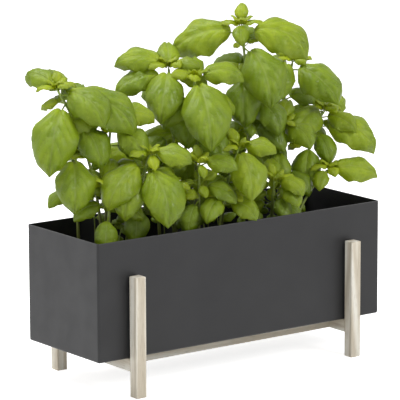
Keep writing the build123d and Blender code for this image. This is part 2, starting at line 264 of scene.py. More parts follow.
# %% Recycled black plastic
def recycled_plastic():
    """Dull black plastic with scratches that run up and down."""
    finish, tree, shader = new_finish("recycled_plastic")
    spot = place_in_metres(tree)
    cloud = noise(tree, spot, 45.0, detail=4.0)
    colour = ramp(tree, cloud, [(0.3, (0.008, 0.008, 0.008)), (0.75, (0.022, 0.021, 0.020))])
    tree.links.new(colour, shader.inputs["Base Color"])
    upright = put(tree, "ShaderNodeMapping", [("Vector", spot), ("Scale", (1.0, 1.0, 0.04))])
    scratches = noise(tree, upright.outputs["Vector"], 700.0, detail=2.0)
    tree.links.new(spread(tree, scratches, 0.3, 0.7, 0.42, 0.62), shader.inputs["Roughness"])
    emboss(tree, shader, scratches, 0.0001, 0.3)
    return finish


plastic = recycled_plastic()
print("plastic ready")

# %% [markdown]
# ## Building meshes from arrays
# Pots, compost, stems and leaves are all made the same way: a function works out points, faces, a map and a
# tone for each point, and one helper joins many such pieces into an object. Modelling by hand would be
# slower, and a particle system could not keep each leaf where its solid is.

# %% Join pieces into one object
def grid_faces(rows, columns, closed=False, flip=False):
    """Four-cornered faces of a grid of points, with the last column joined to the first if closed."""
    faces = []
    for row in range(rows - 1):
        for column in range(columns if closed else columns - 1):
            beside = (column + 1) % columns
            face = (
                row * columns + column,
                row * columns + beside,
                (row + 1) * columns + beside,
                (row + 1) * columns + column,
            )
            faces.append(face[::-1] if flip else face)
    return faces


def make_object(name, pieces, finish, body, replaced):
    """Join pieces of points (in millimetres), faces, map and tones into one object that rides on a body."""
    points, faces, maps, tones, flat = [], [], [], [], []
    count = 0
    for piece in pieces:
        points.append(piece["points"])
        maps.append(piece["map"])
        tones.append(piece["tone"])
        faces += [tuple(count + corner for corner in face) for face in piece["faces"]]
        flat_from = piece.get("flat_from", len(piece["faces"]))
        flat += [number >= flat_from for number in range(len(piece["faces"]))]
        count += len(piece["points"])
    mesh = bpy.data.meshes.new(name)
    mesh.from_pydata((np.concatenate(points) * 0.001).tolist(), [], faces)
    corners = np.zeros(len(mesh.loops), int)
    mesh.loops.foreach_get("vertex_index", corners)
    layer = mesh.uv_layers.new(name="blade_map")
    layer.data.foreach_set("uv", np.concatenate(maps)[corners].astype(np.float32).ravel())
    tone = mesh.color_attributes.new("tone", "FLOAT_COLOR", "POINT")
    tone.data.foreach_set("color", np.concatenate(tones).astype(np.float32).ravel())
    mesh.polygons.foreach_set("use_smooth", [not sharp for sharp in flat])
    mesh.materials.append(finish)
    made = bpy.data.objects.new(name, mesh)
    bpy.context.collection.objects.link(made)
    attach(made, body)
    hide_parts(replaced)
    return made


def even(count, value):
    """The same row of numbers for every point."""
    return np.tile(np.array(value, float), (count, 1))


def in_millimetres(corner):
    """A corner of a node's box, in millimetres."""
    return np.round(np.array(corner, float) * 1000, 3)


print("mesh helpers ready")

# %% [markdown]
# A pot is round, while its solid has flat sides that keep it light, so the visible pot is turned as on a
# lathe: one profile runs from the underside round the foot, up the wall, over the lip and down inside, and is
# swept round the axis. A Screw modifier would sweep it too, but could not leave out the drain slots. Every
# corner is cut a little, with a short run on both sides that keeps its shading crisp.

# %% Turned pots
# Sizes in millimetres, and counts of points and slots
places = ("left", "middle", "right")
pot_turns = 96
pot_base_r = 42
pot_wall = 1.2
pot_band = 16
pot_band_step = 3
pot_foot = 3
pot_foot_width = 7
hub_r = 6
drain_rings = (20, 32)
drain_count = 6
drain_columns = 4


def eased(corners, cut=0.25, hold=0.9):
    """A profile with its corners cut, and points that hold the runs straight beside them."""
    corners = np.array(corners, float)
    points = [corners[0]]
    for before, corner, after in zip(corners, corners[1:], corners[2:]):
        for run, nearest_last in ((before - corner, True), (after - corner, False)):
            length = np.linalg.norm(run)
            reaches = [min(cut, 0.2 * length), min(hold, 0.45 * length)]
            points += [corner + run / length * reach for reach in sorted(reaches, reverse=nearest_last)]
    return points + [corners[-1]]


def pot_profile(rim_r, height):
    """Radius and height of each ring, from the hub of the underside round to the hub of the floor."""
    neck_r, neck, floor = rim_r - pot_band_step, height - pot_band, pot_foot + pot_wall
    floor_r = pot_base_r + (neck_r - pot_base_r) * floor / neck - pot_wall
    foot_r, lip_r = pot_base_r - pot_foot_width, rim_r - pot_wall
    inner, outer = drain_rings
    foot_corners = [(outer, pot_foot), (foot_r, pot_foot), (foot_r, 0), (pot_base_r, 0)]
    band_corners = [(neck_r, neck), (rim_r, neck), (rim_r, height), (lip_r, height)]
    inside_corners = [(lip_r, neck + pot_wall), (neck_r - pot_wall, neck + pot_wall), (floor_r, floor)]
    corners = foot_corners + band_corners + inside_corners + [(outer, floor)]
    rings = [(hub_r, pot_foot), (inner, pot_foot), *eased(corners), (inner, floor), (hub_r, floor)]
    return np.array(rings)


def turned_pot(low, high):
    """One pot with its drain slots."""
    middle = (low + high) / 2
    rings = pot_profile(high[0] - middle[0], high[2] - low[2])
    rows = len(rings)
    angles = np.linspace(0, 2 * np.pi, pot_turns, endpoint=False)
    radius, height = rings[:, :1], rings[:, 1:] + 0 * angles
    points = np.stack([radius * np.cos(angles), radius * np.sin(angles), height], axis=-1).reshape(-1, 3)
    slots = [pot_turns * slot // drain_count for slot in range(drain_count)]
    open_columns = {first + step for first in slots for step in range(drain_columns)}
    # The slots lie between rings 1 and 2 of the underside, and between the same two of the floor above it.
    faces = []
    drain_rows = (1, rows - 3)
    for number, face in enumerate(grid_faces(rows, pot_turns, closed=True)):
        row, column = divmod(number, pot_turns)
        if row not in drain_rows or column not in open_columns:
            faces.append(face)
    smooth = len(faces)
    for first in slots:
        columns = range(first, first + drain_columns + 1)
        edge = [(1, column) for column in columns] + [(2, column) for column in reversed(columns)]
        under = [ring * pot_turns + column for ring, column in edge]
        above = [(rows - 1 - ring) * pot_turns + column for ring, column in edge]
        faces += [(under[n - 1], under[n], above[n], above[n - 1]) for n in range(len(edge))]
    last_ring = (rows - 1) * pot_turns
    faces += [tuple(reversed(range(pot_turns))), tuple(range(last_ring, last_ring + pot_turns))]
    count = len(points)
    return {
        "points": points + np.array([middle[0], middle[1], low[2]]),
        "faces": faces,
        "map": np.zeros((count, 2)),
        "tone": even(count, (1, 1, 1, 1)),
        "flat_from": smooth,
    }


for place in places:
    node = "nursery_pot_" + place
    shell = turned_pot(*(in_millimetres(corner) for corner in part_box(node)))
    make_object("pot_shell_" + place, [shell], plastic, "pot_" + place, node)
print("pots turned, with", len(shell["points"]), "points each")

# %% [markdown]
# ## Compost
# The root ball fills its pot to below the band. Its top is a bed of dark peat crumbs with a few white grains
# of perlite. A displaced disc alone looks like felt, so small faceted crumbs are strewn over it.

# %% Compost finish
def peat():
    """Fibrous brown, shaded by each crumb's own tone."""
    finish, tree, shader = new_finish("peat")
    spot = place_in_metres(tree)
    tone = put(tree, "ShaderNodeVertexColor", layer_name="tone").outputs["Color"]
    fibre = noise(tree, spot, 600.0, detail=4.0, roughness=0.65)
    shade = ramp(tree, fibre, [(0.3, (0.55, 0.5, 0.45)), (0.7, (1.2, 1.15, 1.1))])
    mixed = blend(tree, 1.0, tone, shade, "MULTIPLY")
    tree.links.new(mixed, shader.inputs["Base Color"])
    tree.links.new(spread(tree, fibre, 0.3, 0.7, 0.8, 0.95), shader.inputs["Roughness"])
    emboss(tree, shader, fibre, 0.0008, 0.6)
    return finish


peat_finish = peat()
print("peat ready")

# %% Compost in each pot
peat_tone = (0.036, 0.024, 0.016, 1.0)
perlite_tone = (0.55, 0.53, 0.49, 1.0)
bed_turns = 56
bed_rings = 14
bed_taper = 0.17
bed_shoulder = 1.5
bed_sink = 1.0
lump_height = 1.3


def bed(low, high, middle, luck):
    """Root ball: a tapered wall and a lumpy top."""
    angles = np.linspace(0, 2 * np.pi, bed_turns, endpoint=False)
    top_r, depth = high[0] - middle[0], high[2] - low[2]
    base_r = top_r - bed_taper * depth
    rings = [(0.0, low[2], 0.0), (base_r, low[2], 0.0), (top_r, high[2] - bed_shoulder, 0.0)]
    for step in range(1, bed_rings):
        rings.append((top_r * (1 - step / bed_rings) ** 0.9, high[2] - bed_sink, lump_height))
    rings.append((0.0, high[2], 0.0))
    points = []
    for radius, height, lumps in rings:
        lift = lumps * luck.normal(size=bed_turns)
        ring = np.stack([radius * np.cos(angles), radius * np.sin(angles), height + lift], 1)
        points.append(ring + np.array([middle[0], middle[1], 0.0]))
    points = np.concatenate(points)
    count = len(points)
    faces = grid_faces(len(rings), bed_turns, closed=True)
    return {"points": points, "faces": faces, "map": np.zeros((count, 2)), "tone": even(count, peat_tone)}


print("bed ready")

# %% Crumbs on the compost
crumb_count = 230
crumb_sizes = (0.8, 2.6)
crumb_sink = 0.6
edge_room = 3
perlite_share = 0.05
perlite_sizes = (0.9, 1.8)
golden = (1 + 5**0.5) / 2
twelve_corners = np.array(
    [(0, a, b * golden) for a in (-1, 1) for b in (-1, 1)]
    + [(a, b * golden, 0) for a in (-1, 1) for b in (-1, 1)]
    + [(b * golden, 0, a) for a in (-1, 1) for b in (-1, 1)]
) / golden


def crumb_faces():
    """Triangles between the nearest corners of a twenty-sided grain."""
    gaps = np.linalg.norm(twelve_corners[:, None] - twelve_corners[None], axis=2)
    near = (gaps > 0.1) & (gaps < 1.3)
    faces = []
    for a in range(12):
        for b in range(a + 1, 12):
            for c in range(b + 1, 12):
                if near[a, b] and near[b, c] and near[a, c]:
                    first, second, third = twelve_corners[[a, b, c]]
                    outward = np.cross(second - first, third - first) @ (first + second + third) > 0
                    faces.append((a, b, c) if outward else (a, c, b))
    return faces


grain_faces = crumb_faces()


def crumb(middle, top, reach, luck):
    """One crumb that lies half sunk in the bed."""
    angle, far = luck.uniform(0, 2 * np.pi), reach * luck.uniform() ** 0.5
    white = luck.uniform() < perlite_share
    size = luck.uniform(*(perlite_sizes if white else crumb_sizes))
    shape = twelve_corners * luck.uniform(0.6, 1.2, size=(12, 1)) * size
    place = np.array([middle[0] + far * np.cos(angle), middle[1] + far * np.sin(angle), top])
    tone = perlite_tone if white else tuple(np.array(peat_tone) * luck.uniform(0.6, 1.6))
    return {"points": shape + place, "faces": grain_faces, "map": np.zeros((12, 2)), "tone": even(12, tone)}


for count, place in enumerate(places):
    luck = np.random.default_rng(40 + count)
    low, high = (np.array(corner) * 1000 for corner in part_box("root_ball_" + place))
    middle = (low + high) / 2
    pieces = [bed(low, high, middle, luck)]
    reach = high[0] - middle[0] - edge_room
    pieces += [crumb(middle, high[2] - crumb_sink, reach, luck) for _ in range(crumb_count)]
    make_object("compost_" + place, pieces, peat_finish, "pot_" + place, "root_ball_" + place)
print("compost in", len(places), "pots")

# %% [markdown]
# ## How the basil grows
# A basil shoot carries leaves in opposite pairs. The table gives each shoot's foot, its tip and its pairs,
# set after the photograph, and a few rules do the rest: stems bend over towards their tips, leaves turn their
# faces to the window, bend under their weight, and step aside or stay smaller where another leaf is in the
# way. Scattering leaves at random would be shorter, but a plant's outline would not be this one.

# %% Shoots of the three plants, in millimetres
# Foot: x, y from the pot's middle. Tip: x, y from there and height above the trough's rim.
# Pair: distance below the tip, turn of the first leaf from the light, its length, the length opposite.
left_shoots = [
    ((0, 5), (-41, 45, 174), [
        (1, 30, 24, 22), (19, 76, 97, 0), (2, 232, 50, 0), (12, 22, 74, 50), (26, -20, 92, 50),
        (60, 40, 62, 50), (100, -10, 50, 50), (130, 60, 44, 44)]),
    ((-14, -28), (-12, -25, 57), [(2, -50, 58, 40), (8, 35, 46, 40), (30, 100, 40, 40), (44, -10, 44, 40)]),
    ((30, -20), (39, -42, 95), [
        (1, 30, 24, 24), (4, 70, 50, 0), (20, 300, 74, 0), (24, 30, 82, 44), (34, -30, 62, 44),
        (62, 150, 40, 40), (74, -10, 50, 44)]),
    ((8, 12), (16, 6, 142), [(2, 150, 22, 22), (8, -50, 62, 50), (26, 10, 56, 50), (50, 100, 40, 52)]),
    ((-20, 30), (-30, 28, 90), [(2, 120, 24, 24), (6, 4, 78, 40), (26, 80, 46, 30), (56, 110, 40, 34)]),
    ((36, -2), (44, -14, 48), [(2, 30, 22, 20), (6, -20, 54, 44), (24, 60, 44, 44)]),
]
middle_shoots = [
    ((-8, 18), (-1, 42, 186), [
        (1, 30, 24, 20), (2, 252, 62, 44), (9, -10, 76, 48), (18, 275, 66, 50), (55, 30, 66, 60),
        (105, 100, 60, 60), (150, 0, 44, 44)]),
    ((-6, -28), (-18, -46, 76), [
        (1, 30, 20, 20), (4, 70, 44, 40), (10, -4, 86, 50), (40, 80, 45, 50), (60, -40, 44, 44)]),
    ((14, 4), (15, 8, 174), [
        (4, 90, 56, 36), (10, 16, 98, 50), (35, 100, 50, 55), (78, 0, 60, 60), (115, 90, 50, 50)]),
    ((34, -20), (50, -38, 86), [
        (1, 45, 26, 26), (3, 62, 44, 40), (8, 18, 72, 50), (45, -20, 50, 44), (66, 50, 40, 40)]),
    ((-30, 22), (-38, 40, 78), [(2, 120, 22, 22), (6, -70, 52, 48), (26, 190, 50, 46), (55, 110, 40, 40)]),
    ((28, 28), (22, 44, 96), [(2, 120, 22, 22), (6, 110, 50, 50), (26, 200, 52, 46), (60, 120, 44, 44)]),
    ((-34, -14), (-44, -22, 44), [(2, 30, 22, 20), (5, 0, 56, 44), (22, 70, 44, 44)]),
    ((16, -38), (20, -50, 30), [(2, 20, 20, 18), (5, -30, 46, 40), (14, 50, 44, 36)]),
]
right_shoots = [
    ((-20, 15), (-27, 25, 232), [
        (1, 0, 34, 28), (16, 80, 84, 0), (16, 264, 88, 0), (38, -10, 88, 54), (66, 40, 60, 54),
        (74, -30, 72, 50), (115, 190, 55, 60), (150, 70, 50, 50), (185, 0, 44, 44)]),
    ((38, -8), (95, 8, 111), [
        (1, 30, 26, 24), (26, 85, 78, 0), (4, -50, 72, 0), (8, -10, 34, 50), (12, 60, 48, 50),
        (36, 60, 46, 60), (55, -10, 60, 50)]),
    ((10, -5), (20, 0, 102), [(2, -60, 48, 40), (8, 30, 50, 45), (40, -10, 50, 50), (75, 60, 45, 45)]),
    ((8, -36), (67, -38, 42), [(1, 30, 24, 22), (5, 88, 62, 0), (4, -20, 34, 0)]),
    ((22, 24), (66, 36, 175), [
        (1, 30, 24, 22), (14, 50, 80, 50), (7, -10, 68, 50), (60, 90, 60, 60), (110, 0, 60, 60)]),
    ((-22, -30), (-28, -46, 40), [
        (2, 30, 20, 20), (5, 10, 46, 36), (14, 50, 40, 36), (28, 20, 40, 34), (42, 70, 36, 34)]),
    ((-8, 32), (-4, 43, 92), [(2, 120, 22, 22), (6, 110, 50, 50), (26, 200, 52, 46), (60, 120, 44, 44)]),
]
plants = [("left", left_shoots), ("middle", middle_shoots), ("right", right_shoots)]
print("shoots:", [len(table) for _, table in plants])

# %% Sizes and rules of growth
# Basil stems and leaves
stem_foot_side = 4.2
stem_tip_side = 2.4
stem_upright_share = 0.62
stalk_half = 1.1
stalk_share = 0.1
stalk_least = 4
leaf_half_share = 0.32
leaf_crown_share = 0.09
leaf_fit = 0.4
lowest_leaf_share = 0.05

# Where leaves may grow
aisle_slope = 0.45
aisle_half = 2
wall_room = 5
leaf_room = 2.5
full_room_length = 66
stalk_room_share = 0.35
room_rise = 2
stem_room = 3.6

# Points of a leaf and of a stem at which the room is measured
room_start = 0.06
room_rows = 14
room_columns = 9
room_on_stalk = (0.4, 0.7, 1)
own_stem_rows = 2
stem_line_points = 60

# Window light: leaves turn their faces to it
light_azimuth = -126.6
side_pitch = 7
pitch_loss = 0.08
top_pitch = 24
top_length = 20
light_pitch = 36
young_length = 30
young_pitch = 42
side_bend = 66
light_bend = 8
light_roll = 46

# Outline of a leaf: share of the blade's length, share of its half width
leaf_outline = [(0, 0.05), (0.13, 0.68), (0.4, 1), (0.74, 0.77), (1, 0)]

# A crowded leaf tries these turns to the side, and then shorter blades
swings = (0, 14, -14, 28, -28, 42, -42)
blade_shares = (1, 0.9, 0.8, 0.68)


trough_low, trough_high = (in_millimetres(corner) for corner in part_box("trough"))
trough_length, trough_width = (trough_high - trough_low)[:2]
rim = trough_high[2]
soil_top = in_millimetres(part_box("root_ball_left")[1])[2]
pot_boxes = [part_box("nursery_pot_" + place) for place in places]
pot_middles = [sum(in_millimetres(corner)[0] for corner in box) / 2 for box in pot_boxes]
pot_pitch = pot_middles[1] - pot_middles[0]
up = np.array([0.0, 0.0, 1.0])
print("pots at", pot_middles, "soil at", soil_top)

# %% Stems and leaves as curves
def unit(vector):
    """The same direction at length one."""
    return vector / np.linalg.norm(vector)


def pot_x(number):
    """Where a pot's middle lies along the trough."""
    return pot_middles[number]


def stem_point(shoot, share):
    """Point and direction at a share of the stem's way from its foot to its tip."""
    foot, tip = shoot["foot"], shoot["tip"]
    knee = foot + up * stem_upright_share * (tip[2] - foot[2])
    point = (1 - share) ** 2 * foot + 2 * share * (1 - share) * knee + share**2 * tip
    return point, unit((1 - share) * (knee - foot) + share * (tip - knee))


def new_shoot(foot, tip, turn, thickness=1.0):
    """A shoot between two points, with points along it for the room that it takes."""
    shoot = {"foot": foot, "tip": tip, "turn": turn, "thickness": thickness}
    shoot["length"] = np.linalg.norm(tip - foot)
    shares = np.linspace(0, 1, stem_line_points)
    shoot["line"] = np.array([stem_point(shoot, share)[0] for share in shares])
    return shoot


def stem_half(shoot, share):
    """Half the side of the square stem there."""
    return shoot["thickness"] * (stem_foot_side + (stem_tip_side - stem_foot_side) * share) / 2


def stem_frame(shoot, share):
    """Point on the stem and the two ways that its square section faces, the first along X."""
    point, direction = stem_point(shoot, share)
    x_side = unit(np.array([1.0, 0.0, 0.0]) - direction[0] * direction)
    return point, x_side, np.cross(direction, x_side)


def make_leaf(shoot, drop, turn, blade):
    """A leaf that leaves its stem at a distance below the tip and bends down under its weight."""
    share = max(lowest_leaf_share, 1 - drop / shoot["length"])
    point, x_side, y_side = stem_frame(shoot, share)
    direction = np.cross(x_side, y_side)
    azimuth = math.radians(light_azimuth + turn)
    outward = np.array([math.cos(azimuth), math.sin(azimuth), 0.0])
    square_out = unit(outward - (outward @ direction) * direction)
    reach = stem_half(shoot, share) * (abs(square_out @ x_side) + abs(square_out @ y_side)) + leaf_fit
    to_light = math.cos(math.radians(turn))
    pitch = young_pitch + math.degrees(math.asin(square_out[2]))
    if blade > young_length:
        pitch = side_pitch - pitch_loss * drop + top_pitch * max(0, 1 - drop / top_length)
    return {
        "start": point + square_out * reach,
        "outward": outward,
        "side": np.cross(up, outward),
        "blade": blade,
        "drop": drop,
        "turn": turn,
        "shoot": shoot,
        "stalk": stalk_least + stalk_share * blade,
        "pitch": math.radians(pitch - light_pitch * to_light**3),
        "bend": math.radians(side_bend + light_bend * to_light),
        "roll": math.radians(light_roll * math.sin(math.radians(turn))),
    }


def midrib(leaf, share):
    """Point, side and face normal at a share of the blade's length: the midrib is an arc."""
    outward, pitch, bend = leaf["outward"], leaf["pitch"], leaf["bend"]
    radius = leaf["blade"] / bend
    angle = pitch - bend * share
    blade_start = leaf["start"] + leaf["stalk"] * (math.cos(pitch) * outward + math.sin(pitch) * up)
    point = blade_start + radius * (
        (math.sin(pitch) - math.sin(angle)) * outward + (math.cos(angle) - math.cos(pitch)) * up
    )
    tangent = math.cos(angle) * outward + math.sin(angle) * up
    flat = leaf["side"]
    normal = np.cross(tangent, flat)
    turn, lift = math.cos(leaf["roll"]), math.sin(leaf["roll"])
    return point, turn * flat + lift * normal, turn * normal - lift * flat


print("curves ready")

# %% Room for each leaf
def leaf_points(leaf):
    """Points all over a blade and then along its stalk, with the room that each keeps free round it."""
    shares, widths = zip(*leaf_outline)
    points = []
    room = []
    full_room = leaf_room * min(1, leaf["blade"] / full_room_length)
    crown = leaf_crown_share * leaf["blade"]
    for share in np.linspace(room_start, 1, room_rows):
        width = np.interp(share, shares, widths)
        point, side, normal = midrib(leaf, share)
        for across in np.linspace(-1, 1, room_columns):
            edge = side * across * width * leaf_half_share * leaf["blade"]
            points.append(point + edge + normal * crown * (1 - abs(across)))
            room.append(full_room * min(1, stalk_room_share + room_rise * share))
    blade_start = midrib(leaf, 0)[0]
    for share in room_on_stalk:
        points.append(leaf["start"] + share * (blade_start - leaf["start"]))
        room.append(full_room * stalk_room_share)
    return np.array(points), np.array(room)


def in_bounds(number, points):
    """True where a leaf stays in its own plant's strip and clear of the trough's walls."""
    x, y, z = points.T
    for aisle in range(len(plants) - 1):
        aisle_x = pot_x(aisle) + pot_pitch / 2 - aisle_slope * y
        beyond = x - aisle_x if aisle < number else aisle_x - x
        if beyond.min() < aisle_half:
            return False
    from_end = abs(abs(x) - trough_length / 2)
    from_side = abs(abs(y) - trough_width / 2)
    return not ((np.minimum(from_end, from_side) < wall_room) & (z < rim + wall_room)).any()


def crowded(leaf, grown, shoots):
    """True where a leaf comes too near to another leaf or to a stem."""
    points, room = leaf["points"], leaf["room"]
    for other in grown:
        middles = np.linalg.norm(points.mean(0) - other["points"].mean(0))
        if middles < leaf["blade"] + other["blade"]:
            apart = np.linalg.norm(points[:, None] - other["points"][None], axis=2)
            if (apart < room[:, None] + other["room"][None]).any():
                return True
    for shoot in shoots:
        first_row = own_stem_rows if shoot is leaf["shoot"] else 0
        blade = points[first_row * room_columns:room_rows * room_columns]
        apart = np.linalg.norm(blade[:, None] - shoot["line"][None], axis=2)
        if apart.min() < stem_room:
            return True
    return False


def takes_room(number, leaf, grown, shoots):
    """Add a leaf to those grown, if it has room."""
    leaf["points"], leaf["room"] = leaf_points(leaf)
    free = in_bounds(number, leaf["points"]) and not crowded(leaf, grown, shoots)
    if free:
        grown.append(leaf)
    return free


def grow(number, table):
    """Stems and leaves of one plant: long leaves first, each where it has room."""
    shoots = []
    wanted = []
    for foot, tip, pairs in table:
        start = np.array([pot_x(number) + foot[0], foot[1], soil_top])
        end = np.array([pot_x(number) + tip[0], tip[1], rim + tip[2]])
        shoot = new_shoot(start, end, pairs[0][1])
        shoots.append(shoot)
        for drop, turn, blade, opposite in pairs:
            wanted.append((0, shoot, drop, turn, blade))
            wanted.append((1, shoot, drop, turn + 180, opposite))
    grown = []
    for _, shoot, drop, turn, blade in sorted(wanted, key=lambda leaf: (leaf[0], -leaf[4])):
        tries = [(swing, share) for share in blade_shares for swing in swings if blade]
        for swing, share in tries:
            if takes_room(number, make_leaf(shoot, drop, turn + swing, blade * share), grown, shoots):
                break
    return shoots, grown


grown_plants = [grow(number, table) for number, (_, table) in enumerate(plants)]
print("leaves:", [len(leaves) for _, leaves in grown_plants])

# %% [markdown]
# Two finer things fill a real clump: a pair of small leaves in the crook of most leaf stalks, and thin
# seedlings of the same sowing low down in the shade of the stems. They are too small to need solids, so
# they are grown here by the same rules, wherever the large leaves leave room.

# %% Young growth
# Leaves in the crooks: least length and depth of the leaf that they stand beside, and their own ranges
axil_least = 34
axil_depth = 22
axil_lengths = (13, 27)
axil_turns = (30, 85)
axil_rise = 3.0

# On the shaded side they grow longer and hang
shade_line = -8
shade_lengths = (26, 42)
shade_turns = (10, 80)
shade_pitch = math.radians(4)
shade_bend = math.radians(58)

# Seedlings: pairs give the distance below the tip, the turn and the length
seedling_tries = 60
seedling_reach = 47
seedling_end = 10
seedling_lean = 9
seedling_heights = (48, 88)
seedling_room = 4.5
seedling_depth = 1
seedling_thickness = 0.45
seedling_pairs = [(1, 0, 15), (8, 90, 21), (20, 0, 17)]


def in_shade(number, point):
    """True on the side of the pot that faces away from the window."""
    azimuth = math.radians(light_azimuth)
    return (point[0] - pot_x(number)) * math.cos(azimuth) + point[1] * math.sin(azimuth) < shade_line


def axil_growth(number, shoots, grown, luck):
    """Small leaves beside the stalks of the large ones, below the tips."""
    for leaf in list(grown):
        shaded = in_shade(number, leaf["start"])
        too_young = leaf["blade"] < axil_least or leaf["drop"] < axil_depth
        if too_young or not (shaded or leaf["start"][2] > rim):
            continue
        for side in (-1, 1):
            first_turn, turns = (180, shade_turns) if shaded else (leaf["turn"], axil_turns)
            turn = first_turn + side * luck.uniform(*turns)
            blade = luck.uniform(*(shade_lengths if shaded else axil_lengths))
            young = make_leaf(leaf["shoot"], leaf["drop"] - axil_rise, turn, blade)
            if shaded:
                young.update(pitch=shade_pitch, bend=shade_bend)
            takes_room(number, young, grown, shoots)


def seedlings(number, shoots, grown, luck):
    """Thin stems that come up from the compost where nothing is in their way."""
    made = []
    for _ in range(seedling_tries):
        angle = luck.uniform(0, 2 * np.pi)
        far = seedling_reach * luck.uniform() ** 0.5
        foot_x, foot_y = pot_x(number) + far * math.cos(angle), far * math.sin(angle)
        foot = np.array([foot_x, foot_y, soil_top - seedling_depth])
        lean = luck.uniform((-1, -1, 0), (1, 1, 0)) * seedling_lean
        tip = foot + lean + up * luck.uniform(*seedling_heights)
        shoot = new_shoot(foot, tip, luck.uniform(0, 360), seedling_thickness)
        others = [leaf["points"] for leaf in grown] + [other["line"] for other in shoots + made]
        apart = np.linalg.norm(shoot["line"][:, None] - np.concatenate(others)[None], axis=2).min()
        too_far_left = foot_x < pot_x(0) + seedling_end
        if apart < seedling_room or too_far_left or not in_shade(number, foot):
            continue
        made.append(shoot)
        before = len(grown)
        for drop, turn, blade in seedling_pairs:
            for opposite in (0, 180):
                leaf = make_leaf(shoot, drop, shoot["turn"] + turn + opposite, blade)
                takes_room(number, leaf, grown, shoots + made)
        if len(grown) == before:
            made.pop()
    return made


seedling_plants = []
for number, (shoots, leaves) in enumerate(grown_plants):
    luck = np.random.default_rng(70 + number)
    axil_growth(number, shoots, leaves, luck)
    seedling_plants.append(seedlings(number, shoots, leaves, luck))
    for shoot in shoots + seedling_plants[-1]:
        shoot["leaves"] = [leaf for leaf in leaves if leaf["shoot"] is shoot]
print("seedlings:", [len(made) for made in seedling_plants])
print("leaves with the young ones:", [len(leaves) for _, leaves in grown_plants])

# %% [markdown]
# ## Stems
# A basil stem is square with rounded corners, thickest at the soil, and swells a little where a pair of
# leaves leaves it. It is swept by hand along the shoot's curve, because the swellings follow the pairs. The
# green is yellower towards the tip and browner near the soil.

# %% Stem finish
def stem_skin():
    """Green streaks along the stem, over each ring's own tone."""
    finish, tree, shader = new_finish("stem_skin")
    tone = put(tree, "ShaderNodeVertexColor", layer_name="tone").outputs["Color"]
    spot = put(tree, "ShaderNodeMapping", [("Vector", place_in_metres(tree)), ("Scale", (1.0, 1.0, 0.08))])
    streak = noise(tree, spot.outputs["Vector"], 900.0, detail=3.0)
    shade = ramp(tree, streak, [(0.3, (0.8, 0.8, 0.75)), (0.7, (1.12, 1.12, 1.05))])
    mixed = blend(tree, 1.0, tone, shade, "MULTIPLY")
    tree.links.new(mixed, shader.inputs["Base Color"])
    tree.links.new(spread(tree, streak, 0.3, 0.7, 0.4, 0.55), shader.inputs["Roughness"])
    emboss(tree, shader, streak, 0.0002, 0.4)
    return finish


stem_finish = stem_skin()
print("stem finish ready")

# %% Sweep the stems
stem_rings = 40
stem_corners = 12
stem_squareness = 3.5
stem_end_half = 0.2
swelling = 0.28
swelling_length = 3.0
stem_low_tone = np.array((0.16, 0.16, 0.045))
stem_high_tone = np.array((0.27, 0.37, 0.06))


def rounded_square(count):
    """Points round a square with rounded corners, of half side one."""
    angles = np.linspace(0, 2 * np.pi, count, endpoint=False)
    across, back = np.cos(angles), np.sin(angles)
    far = (np.abs(across) ** stem_squareness + np.abs(back) ** stem_squareness) ** (-1 / stem_squareness)
    return across * far, back * far


def stem_piece(shoot):
    """One stem, closed to a point at its tip."""
    across, back = rounded_square(stem_corners)
    drops = sorted({leaf["drop"] for leaf in shoot["leaves"]})
    points, tones = [], []
    for share in np.linspace(0, 1, stem_rings):
        point, x_side, y_side = stem_frame(shoot, share)
        drop = (1 - share) * shoot["length"]
        bulge = sum(math.exp(-(((drop - place) / swelling_length) ** 2)) for place in drops)
        half = stem_half(shoot, share) * (1 + swelling * min(1.0, bulge))
        if share == 1:
            half = stem_end_half
        points.append(point + half * (across[:, None] * x_side + back[:, None] * y_side))
        tones.append(stem_low_tone * (1 - share) + stem_high_tone * share)
    count = stem_rings * stem_corners
    tone = np.concatenate([np.repeat(tones, stem_corners, axis=0), np.ones((count, 1))], axis=1)
    faces = grid_faces(stem_rings, stem_corners, closed=True)
    return {"points": np.concatenate(points), "faces": faces, "map": np.zeros((count, 2)), "tone": tone}


for (place, _), (shoots, _), young in zip(plants, grown_plants, seedling_plants):
    pieces = [stem_piece(shoot) for shoot in shoots + young]
    make_object("stems_" + place, pieces, stem_finish, "pot_" + place, "basil_stems_" + place)
print("stems:", [len(shoots) for shoots, _ in grown_plants])

# %% [markdown]
# ## Leaf finish
# A basil leaf is satin and a little translucent. Its veins are paler than the blade and lie in grooves, and
# between them the blade is puffed up. The map of each leaf runs from stalk to tip and from edge to edge, so
# a few steps of arithmetic draw the midrib, the swept side veins and the fine net between them. Painting
# one leaf texture would repeat on every leaf; here each leaf also has its own tone.

# %% Leaf finish
vein_pairs = 5.0
vein_sweep = 0.42
vein_curve = 1.15
vein_offset = 0.4
vein_pale = (0.46, 0.55, 0.18, 1.0)
side_vein_share = 0.1
net_share = 0.04
rib_pale_share = 0.26
light_through = (1.9, 1.65, 0.7, 1.0)
through_share = 0.36


